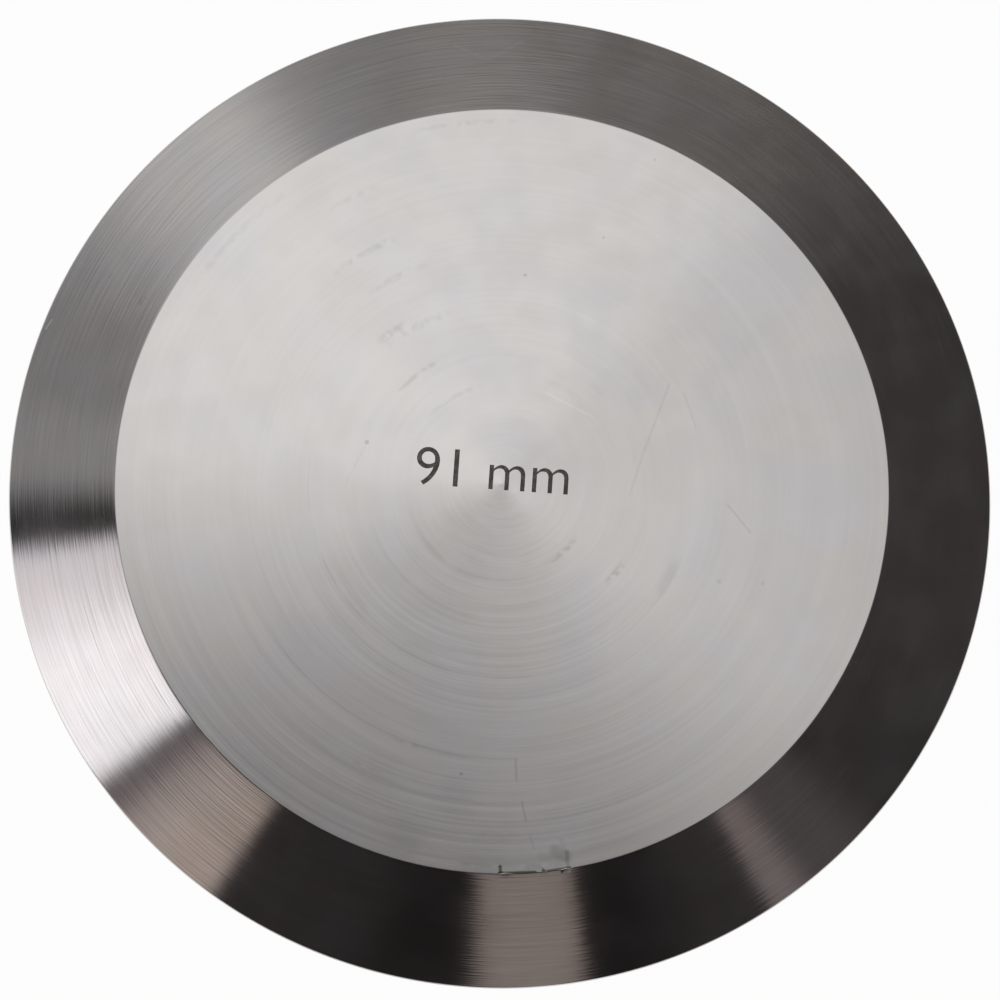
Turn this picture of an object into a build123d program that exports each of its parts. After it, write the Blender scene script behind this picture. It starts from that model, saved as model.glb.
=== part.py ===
from build123d import *
import os
from math import radians, tan

# Solid end cap for a 3 inch sanitary clamp union: one disc turned from stainless steel bar.
# A low cylindrical rim and a cone lead up to the flat outer face, and the flat sealing face
# below has one shallow groove for the bead of the gasket. A clamp's jaws bear on the cone.
#
# Frame: the origin is the centre of the sealing face, and +Z runs along the axis of the disc
# to the outer face, so the cap lies on its sealing face.

# Driving dimensions, in millimetres and degrees
flange_diameter = 91.0
rim_thickness = 2.8
taper_angle = 20.0
taper_rise = 3.7

# The gasket groove: how far its centreline lies inside the rim, and its round section
groove_inset = 3.75
groove_arc_radius = 2.3
groove_depth = 1.6

# Radii of the broken edges
rim_edge_radius = 0.25
face_edge_radius = 0.3
groove_lip_radius = 0.2

# Derived sizes
flange_radius = flange_diameter / 2
face_radius = flange_radius - taper_rise / tan(radians(taper_angle))
cap_thickness = rim_thickness + taper_rise
groove_radius = flange_radius - groove_inset
groove_arc_height = groove_depth - groove_arc_radius


def blank_section():
    """Half of the turned disc's section, as radius and height, with its outer edges broken."""
    outline = Polyline(
        (0, 0),
        (flange_radius, 0),
        (flange_radius, rim_thickness),
        (face_radius, cap_thickness),
        (0, cap_thickness),
        close=True,
    )
    section = make_face(outline)
    rim_corners = section.vertices().filter_by_position(Axis.X, flange_radius, flange_radius)
    section = fillet(rim_corners, rim_edge_radius)
    face_corner = section.vertices().sort_by(Axis.Y)[-2:].sort_by(Axis.X)[-1]
    return fillet(face_corner, face_edge_radius)


def grooved_section():
    """The same section with the round gasket groove cut in the sealing face and its lips broken."""
    groove = Pos(groove_radius, groove_arc_height) * Circle(groove_arc_radius)
    section = blank_section() - groove
    on_sealing_face = section.vertices().filter_by_position(Axis.Y, 0, 0)
    lips = on_sealing_face.sort_by_distance((groove_radius, 0))[:2]
    return fillet(lips, groove_lip_radius)


def end_cap():
    """The whole cap: its half-section turned about the axis."""
    return revolve(Plane.XZ * grooved_section(), axis=Axis.Z)


os.makedirs("parts", exist_ok=True)
export_step(end_cap(), "parts/end_cap.step")
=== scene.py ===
import logging
import math
from dataclasses import dataclass, field
from enum import Enum
from typing import Callable

import bmesh
import bpy
from mathutils import Matrix, Vector


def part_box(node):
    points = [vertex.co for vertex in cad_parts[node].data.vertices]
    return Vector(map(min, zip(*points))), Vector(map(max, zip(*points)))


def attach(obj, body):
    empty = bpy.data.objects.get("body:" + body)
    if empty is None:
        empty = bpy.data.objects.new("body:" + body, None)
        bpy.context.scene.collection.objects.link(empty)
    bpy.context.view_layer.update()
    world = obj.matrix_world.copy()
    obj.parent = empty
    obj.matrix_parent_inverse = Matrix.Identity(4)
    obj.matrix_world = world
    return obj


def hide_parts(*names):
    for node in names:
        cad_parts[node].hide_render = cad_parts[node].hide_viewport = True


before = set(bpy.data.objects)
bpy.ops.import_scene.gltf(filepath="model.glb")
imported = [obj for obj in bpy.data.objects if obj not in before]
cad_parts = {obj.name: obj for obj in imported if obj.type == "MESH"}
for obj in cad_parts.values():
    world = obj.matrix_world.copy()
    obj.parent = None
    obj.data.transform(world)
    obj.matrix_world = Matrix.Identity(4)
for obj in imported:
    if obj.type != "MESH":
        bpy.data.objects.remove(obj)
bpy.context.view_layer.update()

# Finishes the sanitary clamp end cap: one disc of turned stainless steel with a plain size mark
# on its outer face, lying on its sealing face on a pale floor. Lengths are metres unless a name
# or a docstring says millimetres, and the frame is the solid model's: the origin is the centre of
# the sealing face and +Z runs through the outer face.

log = logging.getLogger("end_cap")

MM = 0.001

# Faces that meet at less than this angle are shaded as one surface.
SMOOTH_BELOW = math.radians(32)

# Where a patch of soft noise starts and where it is full.
PATCHY = (0.35, 0.65)


class Value:
    """A shader socket that does arithmetic: each operator adds one Math node."""

    def __init__(self, graph: "Graph", socket: bpy.types.NodeSocket) -> None:
        """Wraps a socket.

        Args:
            graph: The node graph that the socket belongs to.
            socket: An output socket.
        """
        self.graph = graph
        self.socket = socket

    def math(self, operation: str, *others: "Value | float") -> "Value":
        """Adds a Math node with this value first.

        Args:
            operation: The node's operation, such as "POWER".
            others: The second and third operand, where it has them.

        Returns:
            The node's result.
        """
        operands = dict(enumerate((self, *others)))
        return self.graph.add("ShaderNodeMath", {"operation": operation}, operands)

    def reflected(self, operation: str, first: float) -> "Value":
        """Adds a Math node with this value second.

        Args:
            operation: The node's operation.
            first: The first operand.

        Returns:
            The node's result.
        """
        return self.graph.add("ShaderNodeMath", {"operation": operation}, {0: first, 1: self})

    def __add__(self, other: "Value | float") -> "Value":
        """Sum."""
        return self.math("ADD", other)

    def __radd__(self, other: float) -> "Value":
        """Sum, with the number first."""
        return self.math("ADD", other)

    def __sub__(self, other: "Value | float") -> "Value":
        """Difference."""
        return self.math("SUBTRACT", other)

    def __rsub__(self, other: float) -> "Value":
        """Difference, with the number first."""
        return self.reflected("SUBTRACT", other)

    def __mul__(self, other: "Value | float") -> "Value":
        """Product."""
        return self.math("MULTIPLY", other)

    def __rmul__(self, other: float) -> "Value":
        """Product, with the number first."""
        return self.math("MULTIPLY", other)

    def __truediv__(self, other: "Value | float") -> "Value":
        """Quotient."""
        return self.math("DIVIDE", other)

    def __rtruediv__(self, other: float) -> "Value":
        """Quotient, with the number first."""
        return self.reflected("DIVIDE", other)

    def __pow__(self, other: "Value | float") -> "Value":
        """Power."""
        return self.math("POWER", other)

    def __abs__(self) -> "Value":
        """The value without its sign."""
        return self.math("ABSOLUTE")

    def above(self, low: float, high: float) -> "Value":
        """Rises smoothly from 0 at low to 1 at high.

        Args:
            low: Where the rise starts.
            high: Where it ends.

        Returns:
            A mask from 0 to 1.
        """
        settings = {"interpolation_type": "SMOOTHSTEP"}
        return self.graph.add(
            "ShaderNodeMapRange", settings, {"Value": self, "From Min": low, "From Max": high}
        )

    def below(self, high: float, low: float) -> "Value":
        """Falls smoothly from 1 at high to 0 at low, the larger number.

        Args:
            high: Where the mask is still 1.
            low: Where it has reached 0.

        Returns:
            A mask from 0 to 1.
        """
        return 1.0 - self.above(high, low)


class Graph:
    """A node tree that is written as expressions."""

    def __init__(self, tree: bpy.types.NodeTree) -> None:
        """Empties a tree and takes it over.

        Args:
            tree: The tree of a material or of the world.
        """
        self.tree = tree
        tree.nodes.clear()

    def node(
        self, kind: str, settings: dict | None = None, inputs: dict | None = None
    ) -> bpy.types.Node:
        """Makes any node.

        Args:
            kind: The node's type, such as "ShaderNodeTexNoise".
            settings: Properties of the node, set before its sockets.
            inputs: A number, colour, Value or socket for each input, by name or index.

        Returns:
            The new node.
        """
        made = self.tree.nodes.new(kind)
        for name, setting in (settings or {}).items():
            setattr(made, name, setting)
        for name, given in (inputs or {}).items():
            source = given.socket if isinstance(given, Value) else given
            if isinstance(source, bpy.types.NodeSocket):
                self.tree.links.new(source, made.inputs[name])
            else:
                made.inputs[name].default_value = source
        return made

    def add(
        self,
        kind: str,
        settings: dict | None = None,
        inputs: dict | None = None,
        output: str | int = 0,
    ) -> Value:
        """Makes any node and gives one of its outputs.

        Args:
            kind: The node's type.
            settings: Properties of the node, set before its sockets.
            inputs: What each input gets, by name or index.
            output: The name or index of the output.

        Returns:
            The output, ready for arithmetic.
        """
        return Value(self, self.node(kind, settings, inputs).outputs[output])

    def vector(self, x: Value | float, y: Value | float, z: Value | float) -> Value:
        """Joins three numbers into a vector.

        Args:
            x: First part.
            y: Second part.
            z: Third part.

        Returns:
            The vector.
        """
        return self.add("ShaderNodeCombineXYZ", None, {0: x, 1: y, 2: z})

    def noise(
        self, place: Value, scale: float, detail: float = 0.0, roughness: float = 0.5
    ) -> Value:
        """Adds smooth noise.

        Args:
            place: The point to read it at.
            scale: Features per unit of the point.
            detail: Octaves of finer noise.
            roughness: How strong each finer octave is.

        Returns:
            A number near 0.5, from about 0.2 to 0.8.
        """
        inputs = {"Vector": place, "Scale": scale, "Detail": detail, "Roughness": roughness}
        return self.add("ShaderNodeTexNoise", None, inputs)

    def blend(self, share: Value | float, first: object, second: object) -> Value:
        """Mixes two colours.

        Args:
            share: 0 for the first and 1 for the second.
            first: A colour, as four numbers or a Value.
            second: A colour, as four numbers or a Value.

        Returns:
            The mixed colour.
        """
        settings = {"data_type": "RGBA"}
        return self.add("ShaderNodeMix", settings, {0: share, 6: first, 7: second}, 2)


@dataclass
class Surface:
    """Where a point lies on the disc, in millimetres, for the finishes to read.

    Rubbed and drawn are patches from 0 to 1, small and large, that break up the smears.
    """

    graph: Graph
    x: Value = field(init=False)
    y: Value = field(init=False)
    radius: Value = field(init=False)
    place: Value = field(init=False)
    rubbed: Value = field(init=False)
    drawn: Value = field(init=False)

    def __post_init__(self) -> None:
        """Reads the object's own coordinates, so that every pattern keeps to the metal."""
        graph = self.graph
        metres = graph.add("ShaderNodeTexCoord", output="Object")
        scale = {"operation": "SCALE"}
        self.place = graph.add("ShaderNodeVectorMath", scale, {0: metres, "Scale": 1 / MM})
        parts = graph.node("ShaderNodeSeparateXYZ", None, {0: self.place})
        self.x = Value(graph, parts.outputs["X"])
        self.y = Value(graph, parts.outputs["Y"])
        self.radius = (self.x * self.x + self.y * self.y) ** 0.5
        self.rubbed = self.clouds(0.8, seed=3.0).above(*PATCHY)
        self.drawn = self.clouds(4.0, seed=7.0).above(*PATCHY)

    def ring(self, per_mm: float, per_turn: float, seed: float) -> Value:
        """Gives a point whose noise runs in rings, as tool marks do.

        Args:
            per_mm: How fast the noise changes across the rings.
            per_turn: How fast it changes along them.
            seed: Keeps one set of rings apart from another.

        Returns:
            The point, for noise of scale 1.
        """
        away = self.radius.math("MAXIMUM", 0.01)
        return self.graph.vector(
            self.radius * per_mm + seed,
            self.x / away * per_turn,
            self.y / away * per_turn,
        )

    def rings(self, pitch: float, per_turn: float, seed: float, detail: float = 0.0) -> Value:
        """Gives noise that runs in rings, from about 0.2 to 0.8.

        Args:
            pitch: Distance from one ring to the next, in millimetres.
            per_turn: How fast the noise changes along a ring.
            seed: Keeps one set of rings apart from another.
            detail: Octaves of finer rings.

        Returns:
            The noise.
        """
        return self.graph.noise(self.ring(1 / pitch, per_turn, seed), 1.0, detail, 0.6)

    def clouds(self, size: float, seed: float, detail: float = 2.0) -> Value:
        """Gives soft patches with no direction, from about 0.2 to 0.8.

        Args:
            size: Width of a patch in millimetres.
            seed: Keeps one set of patches apart from another.
            detail: Octaves of finer patches.

        Returns:
            The noise.
        """
        inputs = {0: self.place, 1: (seed, seed, seed)}
        moved = self.graph.add("ShaderNodeVectorMath", {"operation": "ADD"}, inputs)
        return self.graph.noise(moved, 1 / size, detail)

    def distance_to(self, x: float, y: float) -> Value:
        """Gives the distance to a point of the disc, seen from above.

        Args:
            x: The point's x in millimetres.
            y: Its y.

        Returns:
            The distance in millimetres.
        """
        east = self.x - x
        north = self.y - y
        return (east * east + north * north) ** 0.5


@dataclass(frozen=True)
class Scratch:
    """A straight fine mark from one point of the disc to another, in millimetres.

    A darkness below 0 makes it paler than the metal: a painted glint.
    """

    start: tuple[float, float]
    end: tuple[float, float]
    width: float
    darkness: float

    def mask(self, on: Surface) -> Value:
        """Gives the scratch's darkness along its line, fading to its sides.

        Args:
            on: Where the point is.

        Returns:
            Its darkness on the line and 0 off it.
        """
        length = math.dist(self.start, self.end)
        along_x = (self.end[0] - self.start[0]) / length
        along_y = (self.end[1] - self.start[1]) / length
        east = on.x - self.start[0]
        north = on.y - self.start[1]
        along = (east * along_x + north * along_y).math("MAXIMUM", 0.0).math("MINIMUM", length)
        off_x = east - along * along_x
        off_y = north - along * along_y
        off = (off_x * off_x + off_y * off_y) ** 0.5
        return off.below(self.width * 0.2, self.width) * self.darkness


@dataclass(frozen=True)
class Smudge:
    """A faint smear that follows the tool marks: an arc about the axis, in millimetres.

    A drawn smear is broken up by the large patches, and any other by the small ones.
    """

    radius: float
    azimuth: float
    half_length: float
    width: float
    darkness: float
    drawn: bool = False

    def mask(self, on: Surface) -> Value:
        """Gives the smear's darkness, broken up as a rubbed mark is.

        Args:
            on: Where the point is.

        Returns:
            Its darkness in the smear and 0 outside it.
        """
        turn = math.radians(self.azimuth)
        middle = on.distance_to(self.radius * math.cos(turn), self.radius * math.sin(turn))
        near = middle.below(self.half_length * 0.3, self.half_length)
        across = abs(on.radius - self.radius).below(self.width * 0.2, self.width)
        broken = on.drawn if self.drawn else on.rubbed
        return near * across * broken * self.darkness


@dataclass(frozen=True)
class Speck:
    """A small dark pit in the face, in millimetres."""

    x: float
    y: float
    radius: float
    darkness: float

    def mask(self, on: Surface) -> Value:
        """Gives the pit's darkness inside it and 0 outside.

        Args:
            on: Where the point is.

        Returns:
            A mask from 0 to the pit's darkness.
        """
        return on.distance_to(self.x, self.y).below(self.radius * 0.4, self.radius) * self.darkness


TOOL_RINGS = (
    Smudge(8.9, -115.0, 9.0, 0.40, 0.05, True),
    Smudge(12.6, -120.0, 11.0, 0.30, 0.05, True),
    Smudge(16.9, -114.0, 15.0, 0.55, 0.04, True),
    Smudge(17.8, -122.0, 22.0, 0.14, 0.09, True),
    Smudge(22.6, -117.0, 14.0, 0.60, 0.04, True),
    Smudge(25.1, -112.0, 21.0, 0.20, 0.08, True),
    Smudge(26.4, -104.0, 18.0, 0.30, 0.04, True),
    Smudge(29.2, -102.0, 20.0, 0.24, 0.07, True),
    Smudge(31.2, -106.0, 22.0, 0.20, 0.08, True),
    Smudge(32.6, -112.0, 22.0, 0.30, 0.06, True),
    Smudge(34.3, -112.0, 24.0, 0.25, 0.08, True),
)

FACE_MARKS = (
    *TOOL_RINGS,
    Scratch((14.6, 10.3), (12.7, 4.1), 0.18, 0.05),
    Scratch((12.7, 4.1), (11.6, -0.2), 0.18, 0.04),
    Scratch((16.0, 9.6), (17.3, 6.4), 0.12, 0.05),
    Scratch((20.6, -0.5), (22.8, -2.9), 0.14, 0.09),
    # A faint painted glint: this scratch is paler than the metal.
    Scratch((3.3, 8.7), (7.7, 6.8), 0.14, -0.04),
    Scratch((2.8, -25.0), (3.0, -26.8), 0.18, 0.13),
    Scratch((3.6, -28.7), (4.1, -30.4), 0.12, 0.17),
    Scratch((4.5, -31.7), (5.0, -32.8), 0.10, 0.12),
    Scratch((2.15, -35.2), (2.05, -34.6), 0.24, 0.70),
    Scratch((2.02, -35.22), (5.20, -34.90), 0.24, 0.80),
    Scratch((5.93, -34.80), (8.30, -34.29), 0.22, 0.70),
    Scratch((5.9, -34.6), (6.0, -34.9), 0.22, 0.50),
    Scratch((6.9, -32.9), (7.9, -33.3), 0.80, 0.22),
    Scratch((5.7, -33.5), (7.6, -33.7), 0.60, 0.10),
    Scratch((7.95, -32.9), (8.1, -34.3), 0.30, 0.22),
    Scratch((7.3, -31.8), (7.8, -32.9), 0.30, 0.07),
    Scratch((-14.4, -1.2), (-12.6, 3.1), 0.12, 0.03),
    Smudge(25.0, 125.0, 4.6, 0.42, 0.09),
    Smudge(21.6, 121.0, 3.6, 0.50, 0.07),
    Smudge(17.4, 130.0, 1.9, 0.60, 0.11),
    Smudge(16.6, 122.0, 4.4, 0.55, 0.08),
    Smudge(12.8, 132.0, 3.2, 0.36, 0.11),
    Smudge(9.2, 124.0, 3.4, 0.30, 0.07),
    Smudge(30.2, 122.0, 3.6, 0.40, 0.05),
    Smudge(33.8, 140.0, 7.5, 0.45, 0.06),
    Smudge(34.2, 100.0, 6.0, 0.35, 0.06),
    Smudge(10.4, 55.0, 5.0, 0.50, 0.04, True),
    Smudge(12.3, 35.0, 7.0, 0.40, 0.04, True),
    Smudge(8.3, -46.0, 2.2, 0.40, 0.16),
    Smudge(13.1, -35.0, 1.6, 0.50, 0.15),
    Smudge(17.3, -28.0, 3.2, 0.80, 0.08, True),
    Smudge(25.2, -102.0, 5.0, 0.35, 0.11),
    Smudge(28.6, -112.0, 4.2, 0.30, 0.09),
    Smudge(34.8, -80.0, 3.0, 0.40, 0.18),
    Smudge(34.6, -88.0, 5.0, 0.35, 0.12),
    Speck(0.7, 19.6, 0.20, 0.16),
    Speck(7.7, 23.7, 0.14, 0.18),
    Speck(12.0, 31.5, 0.13, 0.16),
    Speck(-12.7, 2.9, 0.28, 0.18),
    Speck(-2.0, -26.6, 0.18, 0.28),
    Speck(20.2, -7.6, 0.30, 0.08),
    Speck(24.2, -7.5, 0.24, 0.08),
)

# On the taper the first three scratches are strong painted glints, which lift the metal's colour
# to about 1.8 and 1.9 times, and the next two are faint painted glints.
TAPER_MARKS = (
    Scratch((-4.0, -39.0), (-3.7, -39.6), 0.09, -0.8),
    Scratch((17.6, -38.4), (18.1, -39.0), 0.09, -0.8),
    Scratch((-43.4, 12.0), (-42.9, 12.9), 0.12, -0.9),
    Scratch((-7.4, 42.0), (-4.2, 40.6), 0.12, -0.09),
    Scratch((-4.2, 40.6), (-0.8, 43.1), 0.12, -0.09),
    Smudge(37.4, 157.0, 1.0, 0.50, 0.15),
    Smudge(36.3, 169.0, 0.9, 0.40, 0.15),
    Smudge(40.4, -27.0, 1.6, 1.10, 0.25),
)


@dataclass(frozen=True)
class TurnedSteel:
    """Bare stainless steel as a lathe leaves it, with its grooves running round the axis.

    Lines are the fine tool marks and bands the broader ones. Pitches are in millimetres, and
    slopes are a height over its pitch. Turns says how fast both change on their way round, crown
    how far the surface falls for each millimetre outwards, and groove_turn the rotation of the
    anisotropy in whole turns. Haze is the faint rubbing on clean metal, roughening what a mark
    adds to the roughness, and darkest the most light that a mark takes away. Marks paler than the
    metal are painted glints. The three channel depths say how strongly the marks darken red, green
    and blue, and how strongly the painted glints lighten them.
    """

    name: str
    roughness: float
    line_pitch: float
    line_slope: float
    line_contrast: float
    band_pitch: float
    band_slope: float
    band_contrast: float
    turns: float
    marks: tuple[Scratch | Smudge | Speck, ...] = ()
    crown: float = 0.0
    anisotropy: float = 0.95
    groove_turn: float = 0.25
    haze: float = 0.004
    roughening: float = 0.12
    patch_roughness: float = 0.02
    cloud_contrast: float = 0.06
    darkest: float = 0.9
    mark_and_glint_channels: tuple[float, float, float] = (1.0, 1.0, 1.05)
    warm: tuple[float, float, float] = (0.680, 0.652, 0.634)
    cool: tuple[float, float, float] = (0.668, 0.652, 0.652)

    def build(self) -> bpy.types.Material:
        """Makes the material.

        Returns:
            The finished material.
        """
        material = bpy.data.materials.new(self.name)
        material.use_nodes = True
        graph = Graph(material.node_tree)
        on = Surface(graph)
        marks_and_glints = self.total_marks_and_glints(on)
        raised = {"Strength": 1.0, "Distance": MM, "Height": self.relief(on)}
        shader = graph.node(
            "ShaderNodeBsdfPrincipled",
            None,
            {
                "Base Color": self.colour(graph, on, marks_and_glints),
                "Metallic": 1.0,
                "Roughness": self.dullness(on, marks_and_glints),
                "Anisotropic": self.anisotropy,
                "Anisotropic Rotation": self.groove_turn,
                "Normal": graph.add("ShaderNodeBump", None, raised),
            },
        )
        graph.node("ShaderNodeOutputMaterial", None, {"Surface": shader.outputs[0]})
        return material

    def total_marks_and_glints(self, on: Surface) -> Value:
        """Adds up the scratches, smears and pits, with the painted glints counting below 0.

        Args:
            on: Where the point is.

        Returns:
            Nearly 0 on clean metal, rising with the darkness of a mark and below 0 at a painted
            glint.
        """
        return sum((mark.mask(on) for mark in self.marks), on.rubbed * self.haze)

    def dullness(self, on: Surface, marks_and_glints: Value) -> Value:
        """Gives the roughness, which changes a little in patches and rises in the marks.

        Args:
            on: Where the point is.
            marks_and_glints: How dark the marks are there.

        Returns:
            The roughness.
        """
        clean = self.roughness - self.patch_roughness / 2
        return on.drawn * self.patch_roughness + marks_and_glints * self.roughening + clean

    def colour(self, graph: Graph, on: Surface, marks_and_glints: Value) -> Value:
        """Gives the metal's colour: rings a little lighter or darker, cool and warm patches.

        Args:
            graph: The material's graph.
            on: Where the point is.
            marks_and_glints: How dark the marks are there.

        Returns:
            The colour.
        """
        cooler = on.clouds(7.0, seed=5.0, detail=1.0).above(*PATCHY)
        metal = graph.blend(cooler, (*self.warm, 1), (*self.cool, 1))
        bands = on.rings(self.band_pitch * 2, self.turns * 0.5, seed=20.0, detail=1.0)
        lines = on.rings(self.line_pitch * 1.3, self.turns, seed=30.0)
        clouds = on.clouds(9.0, seed=2.0, detail=1.0)
        tone = (bands - 0.5) * self.band_contrast + (lines - 0.5) * self.line_contrast
        tone = (tone + (clouds - 0.5) * self.cloud_contrast) + 1.0
        # The marks darken the colour, and scratches whose darkness is below 0 lighten it as
        # painted glints.
        tone_with_marks_and_glints = [
            tone * (1.0 - (marks_and_glints * depth).math("MINIMUM", self.darkest)) for depth in self.mark_and_glint_channels
        ]
        multiply = {"operation": "MULTIPLY"}
        return graph.add("ShaderNodeVectorMath", multiply, {0: metal, 1: graph.vector(*tone_with_marks_and_glints)})

    def relief(self, on: Surface) -> Value:
        """Gives the height of the tool lines and bands, less the fall of the crown.

        Args:
            on: Where the point is.

        Returns:
            Height in millimetres.
        """
        lines = on.rings(self.line_pitch, self.turns, seed=3.0)
        bands = on.rings(self.band_pitch, self.turns, seed=8.0, detail=1.0)
        height = lines * (self.line_slope * self.line_pitch)
        height = height + bands * (self.band_slope * self.band_pitch)
        return height - on.radius * self.crown


@dataclass(frozen=True)
class EtchedSteel:
    """The dark matt floor of a laser-etched mark."""

    name: str = "etched_mark"
    dark: tuple[float, float, float, float] = (0.13, 0.117, 0.107, 1)
    pale: tuple[float, float, float, float] = (0.26, 0.24, 0.225, 1)

    def build(self) -> bpy.types.Material:
        """Makes the material.

        Returns:
            The finished material.
        """
        material = bpy.data.materials.new(self.name)
        material.use_nodes = True
        graph = Graph(material.node_tree)
        on = Surface(graph)
        grain = on.clouds(0.35, seed=1.0, detail=3.0)
        raised = {"Strength": 1.0, "Distance": MM, "Height": grain * 0.01}
        shader = graph.node(
            "ShaderNodeBsdfPrincipled",
            None,
            {
                "Base Color": graph.blend(grain.above(0.4, 0.7), self.dark, self.pale),
                "Metallic": 0.4,
                "Roughness": grain * 0.2 + 0.45,
                "Normal": graph.add("ShaderNodeBump", None, raised),
            },
        )
        graph.node("ShaderNodeOutputMaterial", None, {"Surface": shader.outputs[0]})
        return material


FACED = TurnedSteel(
    "faced_steel",
    roughness=0.16,
    line_pitch=0.24,
    line_slope=0.005,
    line_contrast=0.03,
    band_pitch=1.3,
    band_slope=0.0055,
    band_contrast=0.07,
    turns=1.1,
    marks=FACE_MARKS,
    crown=0.030,
)
FORMED = TurnedSteel(
    "taper_steel",
    roughness=0.13,
    line_pitch=0.14,
    line_slope=0.050,
    line_contrast=0.17,
    band_pitch=0.6,
    band_slope=0.006,
    band_contrast=0.10,
    turns=6.0,
    marks=TAPER_MARKS,
)
PARTED = TurnedSteel(
    "rim_and_seat_steel",
    roughness=0.20,
    line_pitch=0.16,
    line_slope=0.040,
    line_contrast=0.12,
    band_pitch=0.7,
    band_slope=0.010,
    band_contrast=0.10,
    turns=4.0,
)


class Zone(Enum):
    """The three finishes on the disc, numbered as the material slots are."""

    FACE = 0
    TAPER = 1
    RIM_AND_SEAT = 2


def start_piece() -> None:
    """Leaves edit mode and deselects everything, so that the next operator acts on one piece."""
    if bpy.context.object and bpy.context.object.mode != "OBJECT":
        bpy.ops.object.mode_set(mode="OBJECT")
    bpy.ops.object.select_all(action="DESELECT")


def apply_modifier(piece: bpy.types.Object, kind: str, **settings: object) -> None:
    """Adds a modifier to a piece and applies it.

    Args:
        piece: The piece, already the active object.
        kind: The modifier's type, such as "BOOLEAN".
        settings: Its properties.
    """
    modifier = piece.modifiers.new(kind.lower(), kind)
    for name, setting in settings.items():
        setattr(modifier, name, setting)
    bpy.ops.object.modifier_apply(modifier=modifier.name)


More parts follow.
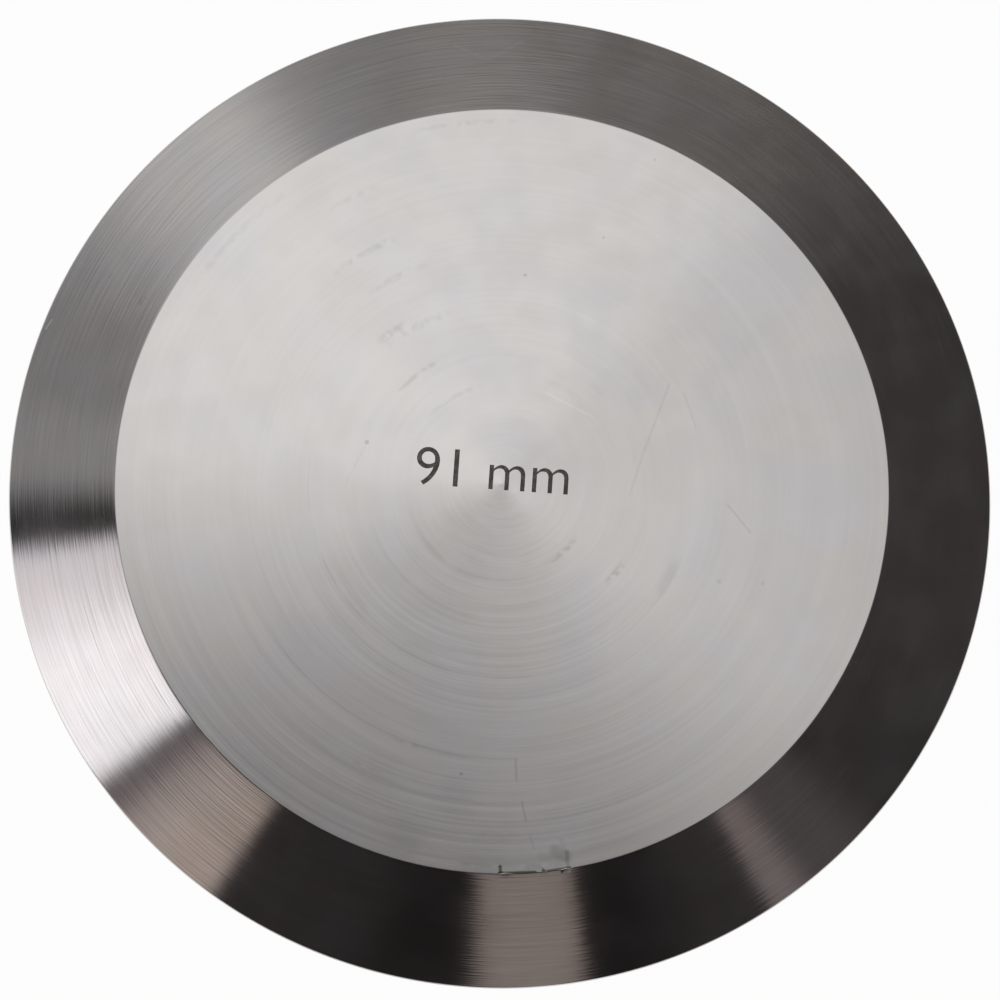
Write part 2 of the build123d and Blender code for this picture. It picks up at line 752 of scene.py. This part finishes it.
@dataclass
class CapBody:
    """The turned disc: rim, taper, outer face, and the sealing face with its gasket groove.

    A nick is an azimuth in degrees and a depth inwards in millimetres, and nick_drop is the share
    of that depth by which it also goes down. The edge_band is the share of the taper beside the
    outer face that takes the nicks, so that they don't mark the rest of it.
    """

    flange_radius: float
    height: float
    rim_height: float = 2.8 * MM
    taper_angle: float = math.radians(20)
    groove_inset: float = 3.75 * MM
    groove_arc_radius: float = 2.3 * MM
    groove_depth: float = 1.6 * MM
    groove_steps: int = 14
    edge_steps: int = 4
    rim_edge: float = 0.25 * MM
    face_edge: float = 0.3 * MM
    nicks: tuple[tuple[float, float], ...] = (
        (-86.0, 0.06),
        (-85.5, 0.05),
        (-80.0, 0.04),
        (-77.0, 0.05),
    )
    nick_drop: float = 0.3
    edge_band: float = 0.04
    segments: int = 720

    @property
    def face_radius(self) -> float:
        """Radius where the taper meets the outer face."""
        return self.flange_radius - (self.height - self.rim_height) / math.tan(self.taper_angle)

    def build(self) -> bpy.types.Object:
        """Models the disc.

        Returns:
            The finished piece, with one material slot for each zone.
        """
        start_piece()
        bpy.ops.mesh.primitive_cylinder_add(
            vertices=self.segments,
            radius=self.flange_radius,
            depth=self.rim_height,
            end_fill_type="NGON",
            location=(0, 0, self.rim_height / 2),
        )
        piece = bpy.context.object
        piece.name = piece.data.name = "cap_body"
        bpy.ops.object.transform_apply(location=True, rotation=True, scale=True)
        bpy.ops.object.mode_set(mode="EDIT")
        self.turn_taper(piece)
        self.turn_groove(piece)
        self.dent_edge(piece)
        self.break_edges(piece)
        bpy.ops.object.mode_set(mode="OBJECT")
        self.finish(piece)
        return piece

    def select(self, piece: bpy.types.Object, kind: str, test: Callable[[Vector], bool]) -> None:
        """Selects the faces or vertices that lie where a test says, and nothing else.

        Args:
            piece: The piece in edit mode.
            kind: "faces", by their centre, or "verts", by their place.
            test: Says whether a place is wanted.
        """
        bpy.ops.mesh.select_all(action="DESELECT")
        bpy.ops.mesh.select_mode(type="FACE" if kind == "faces" else "VERT")
        mesh = bmesh.from_edit_mesh(piece.data)
        for part in getattr(mesh, kind):
            place = part.calc_center_median() if kind == "faces" else part.co
            if test(place):
                part.select_set(True)
        mesh.select_flush_mode()
        bmesh.update_edit_mesh(piece.data)

    def turn_taper(self, piece: bpy.types.Object) -> None:
        """Draws the top of the rim in and up to the outer face.

        Args:
            piece: The piece in edit mode.
        """
        top = self.rim_height
        self.select(piece, "faces", lambda place: place.z > top - 0.01 * MM)
        rise = self.height - self.rim_height
        run = self.flange_radius - self.face_radius
        for share in (1 - self.edge_band, self.edge_band):
            bpy.ops.mesh.inset(thickness=run * share, depth=rise * share)

    def turn_groove(self, piece: bpy.types.Object) -> None:
        """Draws the sealing face in to the groove, round its arc and on to a flat centre.

        Args:
            piece: The piece in edit mode.
        """
        self.select(piece, "faces", lambda place: place.z < 0.01 * MM)
        arc_height = self.groove_depth - self.groove_arc_radius
        lip = math.asin(-arc_height / self.groove_arc_radius)
        sweep = math.pi - 2 * lip
        steps = range(self.groove_steps + 1)
        turns = [lip + sweep * step / self.groove_steps for step in steps]
        reach = self.groove_arc_radius * math.cos(lip)
        bpy.ops.mesh.inset(thickness=self.groove_inset - reach, depth=0)
        for before, after in zip(turns, turns[1:]):
            inward = self.groove_arc_radius * (math.cos(before) - math.cos(after))
            upward = self.groove_arc_radius * (math.sin(after) - math.sin(before))
            bpy.ops.mesh.inset(thickness=inward, depth=-upward)

    def dent_edge(self, piece: bpy.types.Object) -> None:
        """Knocks the small nicks into the edge of the outer face.

        Args:
            piece: The piece in edit mode.
        """
        for azimuth, depth in self.nicks:
            turn = math.radians(azimuth)
            edge = Vector((math.cos(turn), math.sin(turn), 0)) * self.face_radius
            edge.z = self.height
            near = self.face_radius * math.pi / self.segments
            self.select(piece, "verts", lambda place: (place - edge).length < near)
            inward = Vector((-math.cos(turn), -math.sin(turn), -self.nick_drop)) * depth * MM
            bpy.ops.transform.translate(value=inward)

    def break_edges(self, piece: bpy.types.Object) -> None:
        """Rounds the edges of the rim and of the outer face.

        Args:
            piece: The piece in edit mode.
        """
        rim, top = self.flange_radius, self.rim_height
        quarter, slope = math.pi / 2, self.taper_angle
        rings = (
            (rim, 0.0, self.rim_edge * math.tan(quarter / 2)),
            (rim, top, self.rim_edge * math.tan((quarter - slope) / 2)),
            (self.face_radius, self.height, self.face_edge * math.tan(slope / 2)),
        )
        for radius, height, setback in rings:
            self.select(
                piece,
                "verts",
                lambda place: abs(place.xy.length - radius) < 0.2 * MM
                and abs(place.z - height) < 0.1 * MM,
            )
            bpy.ops.mesh.bevel(offset=setback, segments=self.edge_steps, affect="EDGES")

    def finish(self, piece: bpy.types.Object) -> None:
        """Gives each zone its finish and clean normals.

        Args:
            piece: The piece in object mode.
        """
        for finish in (FACED, FORMED, PARTED):
            piece.data.materials.append(finish.build())
        for face in piece.data.polygons:
            face.material_index = self.zone(face).value
        bpy.ops.object.shade_smooth_by_angle(angle=SMOOTH_BELOW)

    def zone(self, face: bpy.types.MeshPolygon) -> Zone:
        """Says which finish a face of the mesh has.

        Args:
            face: A face of the disc.

        Returns:
            Its zone.
        """
        if face.center.z > self.height - 0.001 * MM:
            return Zone.FACE
        if face.center.z > self.rim_height:
            return Zone.TAPER
        return Zone.RIM_AND_SEAT


@dataclass
class SizeMark:
    """The flange's diameter in millimetres, etched in plain figures on the outer face.

    Capital_share is a capital's height over the font's size.
    """

    flange_radius: float
    height: float
    letter_height: float = 3.6 * MM
    capital_share: float = 0.70
    thinning: float = 0.03 * MM
    curve_steps: int = 6
    join_within: float = 0.0005 * MM
    depth: float = 0.03 * MM
    middle: tuple[float, float] = (-1.0 * MM, 0.9 * MM)

    def etch(self, body: bpy.types.Object) -> None:
        """Cuts the mark into the outer face.

        Args:
            body: The disc, in object mode.
        """
        cutter = self.cutter()
        cutter.data.materials.append(EtchedSteel().build())
        start_piece()
        body.select_set(True)
        bpy.context.view_layer.objects.active = body
        apply_modifier(
            body,
            "BOOLEAN",
            operation="DIFFERENCE",
            solver="EXACT",
            object=cutter,
            material_mode="TRANSFER",
        )
        bpy.data.objects.remove(cutter)
        bpy.ops.object.shade_smooth_by_angle(angle=SMOOTH_BELOW)
        apply_modifier(body, "WEIGHTED_NORMAL", keep_sharp=True, weight=100)

    def cutter(self) -> bpy.types.Object:
        """Models the figures as thin solids that stand through the outer face.

        Returns:
            The solids, as one mesh.
        """
        start_piece()
        bpy.ops.object.text_add(location=(0, 0, 0))
        text = bpy.context.object
        text.data.body = f"{round(self.flange_radius * 2 / MM)} mm"
        text.data.align_x, text.data.align_y = "CENTER", "CENTER"
        text.data.size = self.letter_height / self.capital_share
        text.data.offset = -self.thinning
        text.data.extrude = self.depth
        text.data.resolution_u = self.curve_steps
        bpy.ops.object.convert(target="MESH")
        cutter = bpy.context.object
        bpy.ops.object.mode_set(mode="EDIT")
        bpy.ops.mesh.select_all(action="SELECT")
        bpy.ops.mesh.remove_doubles(threshold=self.join_within)
        bpy.ops.mesh.normals_make_consistent(inside=False)
        bpy.ops.transform.translate(value=(*self.middle, self.height))
        bpy.ops.object.mode_set(mode="OBJECT")
        return cutter


class Tint(Enum):
    """The colours of the light in the room."""

    NEUTRAL = (1.0, 1.0, 1.0)
    LILAC = (1.05, 1.0, 1.05)
    ROSY = (1.15, 1.0, 1.03)
    WARM = (1.18, 1.0, 0.91)
    BUFF = (1.07, 1.0, 0.95)


@dataclass(frozen=True)
class Panel:
    """An upright patch of light in the room, named by what might stand there.

    Start and end are azimuths in degrees, and reach is from its top to its foot, in degrees from
    straight up. A lean is how many degrees an edge moves for each degree down.
    """

    name: str
    start: float
    end: float
    strength: float
    tint: Tint = Tint.NEUTRAL
    start_softness: float = 1.4
    end_softness: float = 1.4
    reach: tuple[float, float] = (32.0, 76.0)
    start_lean: float = 0.0
    end_lean: float = 0.0

    def mask(self, azimuth: Value, lowness: Value) -> Value:
        """Gives 1 between the panel's edges and 0 beyond them.

        Args:
            azimuth: The direction's azimuth in degrees.
            lowness: How far it is below the angle at which the edges are measured, in degrees.

        Returns:
            A mask from 0 to 1.
        """
        middle = (self.start + self.end) / 2
        half = (self.end - self.start) / 2
        aside = (azimuth - middle).math("WRAP", 180.0, -180.0)
        from_start = aside - lowness * self.start_lean if self.start_lean else aside
        from_end = aside - lowness * self.end_lean if self.end_lean else aside
        after = from_start.above(-half - self.start_softness, -half + self.start_softness)
        return after * from_end.below(half - self.end_softness, half + self.end_softness)

    def colour(self) -> tuple[float, ...]:
        """Gives the panel's light."""
        return tuple(self.strength * part for part in self.tint.value)


@dataclass(frozen=True)
class Patch:
    """A round patch overhead, in degrees east and north of straight up."""

    east: float
    north: float
    radius: float
    softness: float
    strength: float

    def mask(self, east: Value, north: Value) -> Value:
        """Gives the patch's strength inside it and 0 outside.

        Args:
            east: The direction's degrees towards +X.
            north: Its degrees towards +Y.

        Returns:
            The strength.
        """
        away_x = east - self.east
        away_y = north - self.north
        away = (away_x * away_x + away_y * away_y) ** 0.5
        edge = away.below(self.radius - self.softness, self.radius + self.softness)
        return edge * self.strength


@dataclass
class Studio:
    """The pale floor, the soft light around the cap and the camera above it.

    Horizon and below_horizon are ranges of degrees from straight up. Over the first the low light
    of the room comes in, and over the second it loses a share, its fall. A leaning edge has its
    stated azimuth at the angle lean_from. The camera's azimuth, tilt and roll are in degrees, and
    its lens and sensor in millimetres.
    """

    panels: tuple[Panel, ...]
    ceiling: Patch
    skylight: Patch
    shade: Patch
    floor_radius: float = 4.0
    floor_segments: int = 96
    floor_gap: float = 0.02 * MM
    opening: float = 45.0 * MM
    edge_softness: float = 4.0
    lean_from: float = 42.0
    horizon: tuple[float, float] = (69.0, 86.0)
    below_horizon: tuple[float, float] = (92.0, 130.0)
    horizon_strength: float = 0.9
    horizon_fall: float = 0.7
    dimmest: float = 0.010
    dimmest_red: float = 0.001
    paleness: float = 0.97
    distance: float = 251.9 * MM
    sensor_width: float = 36.0
    focal_length: float = 96.84
    clip: tuple[float, float] = (0.01, 50.0)
    azimuth: float = -6.3
    tilt: float = 9.01
    roll: float = 10.32
    aim: tuple[float, float, float] = (-0.09 * MM, -0.53 * MM, 0)

    def light(self) -> None:
        """Paints the light that comes from each direction of the room."""
        world = bpy.data.worlds.new("studio_light")
        bpy.context.scene.world = world
        world.use_nodes = True
        graph = Graph(world.node_tree)
        direction = graph.add("ShaderNodeTexCoord", output="Generated")
        parts = graph.node("ShaderNodeSeparateXYZ", None, {0: direction})
        x, y, z = (Value(graph, part) for part in parts.outputs)
        azimuth = y.math("ARCTAN2", x) * math.degrees(1)
        polar = z.math("MINIMUM", 1.0).math("ARCCOSINE") * math.degrees(1)
        spread = math.degrees(2) / (z + 1.0).math("MAXIMUM", 0.01)
        east, north = x * spread, y * spread
        overhead = self.ceiling.mask(east, north) + self.skylight.mask(east, north)
        overhead = overhead * (1.0 - self.shade.mask(east, north))
        fading = 1.0 - polar.above(*self.below_horizon) * self.horizon_fall
        horizon = polar.above(*self.horizon) * self.horizon_strength * fading
        level = overhead + horizon + self.dimmest
        total = graph.vector(level + self.dimmest_red, level, level)
        lowness = polar - self.lean_from
        soft = self.edge_softness
        multiply_add = {"operation": "MULTIPLY_ADD"}
        for reach in dict.fromkeys(panel.reach for panel in self.panels):
            top, foot = reach
            height = polar.above(top - soft, top + soft) * polar.below(foot - soft, foot + soft)
            for panel in self.panels:
                if panel.reach == reach:
                    lit = panel.mask(azimuth, lowness) * height
                    inputs = {0: panel.colour(), 1: lit, 2: total}
                    total = graph.add("ShaderNodeVectorMath", multiply_add, inputs)
        room = graph.node("ShaderNodeBackground", None, {"Color": total, "Strength": 1.0})
        pale = (self.paleness, self.paleness, self.paleness, 1)
        backdrop = graph.node("ShaderNodeBackground", None, {"Color": pale, "Strength": 1.0})
        camera = graph.add("ShaderNodeLightPath", output="Is Camera Ray")
        mixed = graph.node(
            "ShaderNodeMixShader", None, {0: camera, 1: room.outputs[0], 2: backdrop.outputs[0]}
        )
        graph.node("ShaderNodeOutputWorld", None, {"Surface": mixed.outputs[0]})

    def floor(self) -> None:
        """Lays the floor, open under the cap so that its sealing face shows from below."""
        start_piece()
        bpy.ops.mesh.primitive_circle_add(
            vertices=self.floor_segments,
            radius=self.floor_radius,
            fill_type="NGON",
            location=(0, 0, -self.floor_gap),
        )
        floor = bpy.context.object
        floor.name = "floor"
        bpy.ops.object.mode_set(mode="EDIT")
        bpy.ops.mesh.select_all(action="SELECT")
        bpy.ops.mesh.inset(thickness=self.floor_radius - self.opening, depth=0)
        bpy.ops.mesh.delete(type="FACE")
        bpy.ops.object.mode_set(mode="OBJECT")
        material = bpy.data.materials.new("pale_floor")
        material.use_nodes = True
        graph = Graph(material.node_tree)
        matt = graph.node("ShaderNodeBsdfDiffuse", None, {"Color": (0.9, 0.9, 0.9, 1)})
        glow = graph.node("ShaderNodeEmission", None, {"Color": (1, 1, 1, 1), "Strength": 1.0})
        path = graph.node("ShaderNodeLightPath")
        kinds = ("Is Camera Ray", "Is Glossy Ray", "Is Transmission Ray")
        camera, glossy, transmitted = (Value(graph, path.outputs[kind]) for kind in kinds)
        share = (camera + glossy + transmitted).math("MINIMUM", 1.0) * self.paleness
        mixed = graph.node(
            "ShaderNodeMixShader", None, {0: share, 1: matt.outputs[0], 2: glow.outputs[0]}
        )
        behind = graph.add("ShaderNodeNewGeometry", output="Backfacing")
        clear = graph.node("ShaderNodeBsdfTransparent")
        seen = graph.node(
            "ShaderNodeMixShader", None, {0: behind, 1: mixed.outputs[0], 2: clear.outputs[0]}
        )
        graph.node("ShaderNodeOutputMaterial", None, {"Surface": seen.outputs[0]})
        floor.data.materials.append(material)

    def camera(self) -> None:
        """Stands the camera nearly above the cap, a little to its near side and turned."""
        lens = bpy.data.cameras.new("camera")
        lens.sensor_width = self.sensor_width
        lens.lens = self.focal_length
        lens.clip_start, lens.clip_end = self.clip
        camera = bpy.data.objects.new("camera", lens)
        bpy.context.collection.objects.link(camera)
        azimuth, tilt, roll = (math.radians(turn) for turn in (self.azimuth, self.tilt, self.roll))
        side = Vector((math.cos(azimuth), math.sin(azimuth), 0))
        near = Vector((math.sin(azimuth), -math.cos(azimuth), 0))
        back = near * math.sin(tilt) + Vector((0, 0, math.cos(tilt)))
        up = back.cross(side)
        right = side * math.cos(roll) + up * math.sin(roll)
        axes = Matrix((right, back.cross(right), back)).transposed()
        place = Vector(self.aim) + back * self.distance
        camera.matrix_world = Matrix.LocRotScale(place, axes, None)
        bpy.context.scene.camera = camera
        bpy.context.scene.view_settings.view_transform = "Standard"


TALL = (38.0, 76.0)
UNDER = (100.0, 165.0)

PANELS = (
    Panel("right_wall", -14.0, 54.4, 0.023, Tint.ROSY, 10.0, 12.0),
    Panel("far_wall", 55.0, 106.0, 0.122, Tint.BUFF, 17.0, 12.0),
    Panel("left_wall", 112.0, 173.5, 0.215, Tint.NEUTRAL, 10.0, 3.0),
    Panel("back_window", 119.0, 139.0, 0.225, Tint.NEUTRAL, 6.0, 12.0),
    Panel("left_door", 162.0, 171.8, 0.05, Tint.NEUTRAL, 2.5, 2.4),
    Panel("window", 179.8, 211.3, 0.84, Tint.LILAC, 1.2, 1.2, reach=TALL),
    Panel("window_sky", 190.5, 210.8, 0.60, Tint.NEUTRAL, 9.5, 1.6, reach=TALL),
    Panel("window_reveal", 211.3, 219.0, 0.13, Tint.ROSY, 1.4, 2.5, reach=TALL),
    Panel("curtain", 218.0, 232.8, 0.47, Tint.WARM, 5.0, 1.3, reach=TALL),
    Panel("left_floor", 232.6, 256.0, 0.014, Tint.ROSY, 1.4, 8.0),
    Panel("lamp", 272.9, 288.1, 0.23, Tint.WARM, 0.6, 0.7, start_lean=0.3, end_lean=-0.3),
    Panel("right_floor", 303.0, 345.0, 0.016, Tint.ROSY, 6.0, 12.0),
    Panel("right_door", 316.2, 320.7, 0.11, Tint.WARM, 0.8, 2.2, start_lean=-0.3),
    Panel("right_door_frame", 316.2, 331.0, 0.040, Tint.ROSY, 0.8, 4.0, start_lean=-0.3),
    Panel("under_light", 195.0, 250.0, 0.65, Tint.NEUTRAL, 12.0, 12.0, reach=UNDER),
    Panel("under_fill", 20.0, 70.0, 0.35, Tint.NEUTRAL, 12.0, 12.0, reach=UNDER),
)

CEILING = Patch(-2.0, 12.0, 23.0, 23.0, 0.935)
SKYLIGHT = Patch(-14.0, 38.0, 29.8, 1.2, 0.15)
SHADE = Patch(-10.0, -40.0, 42.4, 7.4, 1.0)


def main() -> None:
    """Builds the cap, its mark and the studio, and reports each piece."""
    logging.basicConfig(level=logging.INFO, format="%(name)s: %(message)s")
    low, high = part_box("end_cap")
    flange_radius = (high[0] - low[0]) / 2
    cap = CapBody(flange_radius, high[2])
    body = cap.build()
    SizeMark(flange_radius, cap.height).etch(body)
    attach(body, "root")
    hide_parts("end_cap")
    log.info("%s: %d faces", body.name, len(body.data.polygons))
    studio = Studio(PANELS, CEILING, SKYLIGHT, SHADE)
    studio.light()
    studio.floor()
    studio.camera()
    log.info("studio: lit by %s", ", ".join(panel.name for panel in studio.panels))


if __name__ == "__main__":
    main()
